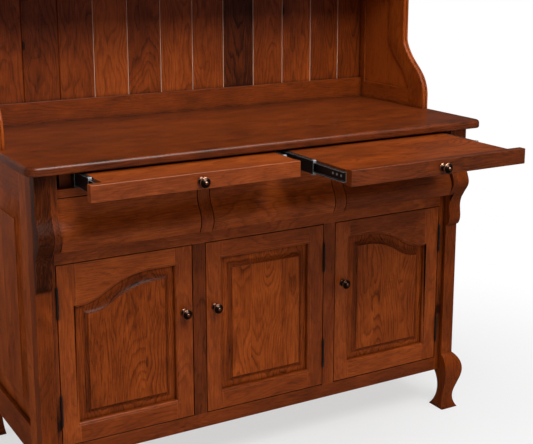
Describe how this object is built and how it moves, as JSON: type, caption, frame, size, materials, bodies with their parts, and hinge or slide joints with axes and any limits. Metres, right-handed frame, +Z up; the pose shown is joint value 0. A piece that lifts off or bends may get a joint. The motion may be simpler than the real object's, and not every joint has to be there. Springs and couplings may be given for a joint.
{
  "type": "dresser with hutch",
  "caption": "Buffet with cupboard doors, ogee drawers and pull-out trays on cabriole legs, with a planked open hutch on its worktop.",
  "frame": {"origin": "on the floor under the middle of the whole object as it stands with both trays pulled out", "axes": "+X to the dresser's right as seen from its front, +Y to its back, +Z up"},
  "size_m": [1.454, 0.9314, 2.08],
  "materials": {
    "stained_wood": "cherry with a reddish brown stain and a satin lacquer",
    "inner_wood": "clear lacquered maple and birch plywood",
    "dark_bronze": "oil-rubbed bronze with copper wear",
    "black_steel": "black enamelled steel",
    "zinc_steel": "zinc-plated rolled steel"
  },
  "bodies": {
    "root": {"bottom_rail": "stained_wood", "cabinet_back": "inner_wood", "cabinet_floor": "inner_wood", "cabinet_slide_members": "zinc_steel", "corbels": "stained_wood", "crown_moulding": "stained_wood", "cupboard_shelves": "inner_wood", "door_catches": "zinc_steel", "drawer_rail": "stained_wood", "drawer_runners": "inner_wood", "end_frames": "stained_wood", "end_panels": "stained_wood", "frame_hinge_leaves": "black_steel", "front_posts": "stained_wood", "front_stiles": "stained_wood", "hinge_pins": "black_steel", "hutch_bottom_rail": "stained_wood", "hutch_planks": "stained_wood", "hutch_shelves": "stained_wood", "hutch_side_frames": "stained_wood", "hutch_side_panels": "stained_wood", "hutch_top": "stained_wood", "hutch_valance": "stained_wood", "ogee_blocks": "stained_wood", "partitions": "inner_wood", "rear_posts": "stained_wood", "rear_rails": "inner_wood", "shelf_cleats": "inner_wood", "shelf_pins": "zinc_steel", "tray_cleats": "stained_wood", "tray_rail": "stained_wood", "worktop": "stained_wood"},
    "left_door": {"left_door_frame": "stained_wood", "left_door_hinge_leaves": "black_steel", "left_door_knob": "dark_bronze", "left_door_panel": "stained_wood"},
    "middle_door": {"middle_door_frame": "stained_wood", "middle_door_hinge_leaves": "black_steel", "middle_door_knob": "dark_bronze", "middle_door_panel": "stained_wood"},
    "right_door": {"right_door_frame": "stained_wood", "right_door_hinge_leaves": "black_steel", "right_door_knob": "dark_bronze", "right_door_panel": "stained_wood"},
    "left_drawer": {"left_drawer_box": "inner_wood", "left_drawer_front": "stained_wood"},
    "middle_drawer": {"middle_drawer_box": "inner_wood", "middle_drawer_front": "stained_wood"},
    "right_drawer": {"right_drawer_box": "inner_wood", "right_drawer_front": "stained_wood"},
    "left_tray": {"left_tray_board": "stained_wood", "left_tray_front": "stained_wood", "left_tray_knob": "dark_bronze", "left_tray_slide_members": "zinc_steel"},
    "left_tray_middle_slides": {"left_middle_slide_members": "zinc_steel"},
    "right_tray": {"right_tray_board": "stained_wood", "right_tray_front": "stained_wood", "right_tray_knob": "dark_bronze", "right_tray_slide_members": "zinc_steel"},
    "right_tray_middle_slides": {"right_middle_slide_members": "zinc_steel"}
  },
  "joints": [
    {"name": "left_door_hinge", "type": "hinge", "parent": "root", "child": "left_door", "pos_m": [-0.59875, -0.0677, 0.405], "axis": [0, 0, -1], "range_deg": [0, 110]},
    {"name": "middle_door_hinge", "type": "hinge", "parent": "root", "child": "middle_door", "pos_m": [0.18642, -0.0677, 0.405], "axis": [0, 0, 1], "range_deg": [0, 110]},
    {"name": "right_door_hinge", "type": "hinge", "parent": "root", "child": "right_door", "pos_m": [0.59875, -0.0677, 0.405], "axis": [0, 0, 1], "range_deg": [0, 110]},
    {"name": "left_drawer_slide", "type": "slide", "parent": "root", "child": "left_drawer", "axis": [0, -1, 0], "range_m": [0, 0.34]},
    {"name": "middle_drawer_slide", "type": "slide", "parent": "root", "child": "middle_drawer", "axis": [0, -1, 0], "range_m": [0, 0.34]},
    {"name": "right_drawer_slide", "type": "slide", "parent": "root", "child": "right_drawer", "axis": [0, -1, 0], "range_m": [0, 0.34]},
    {"name": "left_tray_slide", "type": "slide", "parent": "root", "child": "left_tray", "axis": [0, -1, 0], "range_m": [-0.154, 0.226]},
    {"name": "left_tray_middle_slide", "type": "slide", "parent": "root", "child": "left_tray_middle_slides", "axis": [0, -1, 0], "range_m": [-0.08982, 0.13158]},
    {"name": "right_tray_slide", "type": "slide", "parent": "root", "child": "right_tray", "axis": [0, -1, 0], "range_m": [-0.315, 0.065]},
    {"name": "right_tray_middle_slide", "type": "slide", "parent": "root", "child": "right_tray_middle_slides", "axis": [0, -1, 0], "range_m": [-0.1832, 0.0382]}
  ],
  "couplings": [
    {"joint": "left_tray_middle_slide", "follows": "left_tray_slide", "ratio": 0.58},
    {"joint": "right_tray_middle_slide", "follows": "right_tray_slide", "ratio": 0.58}
  ]
}
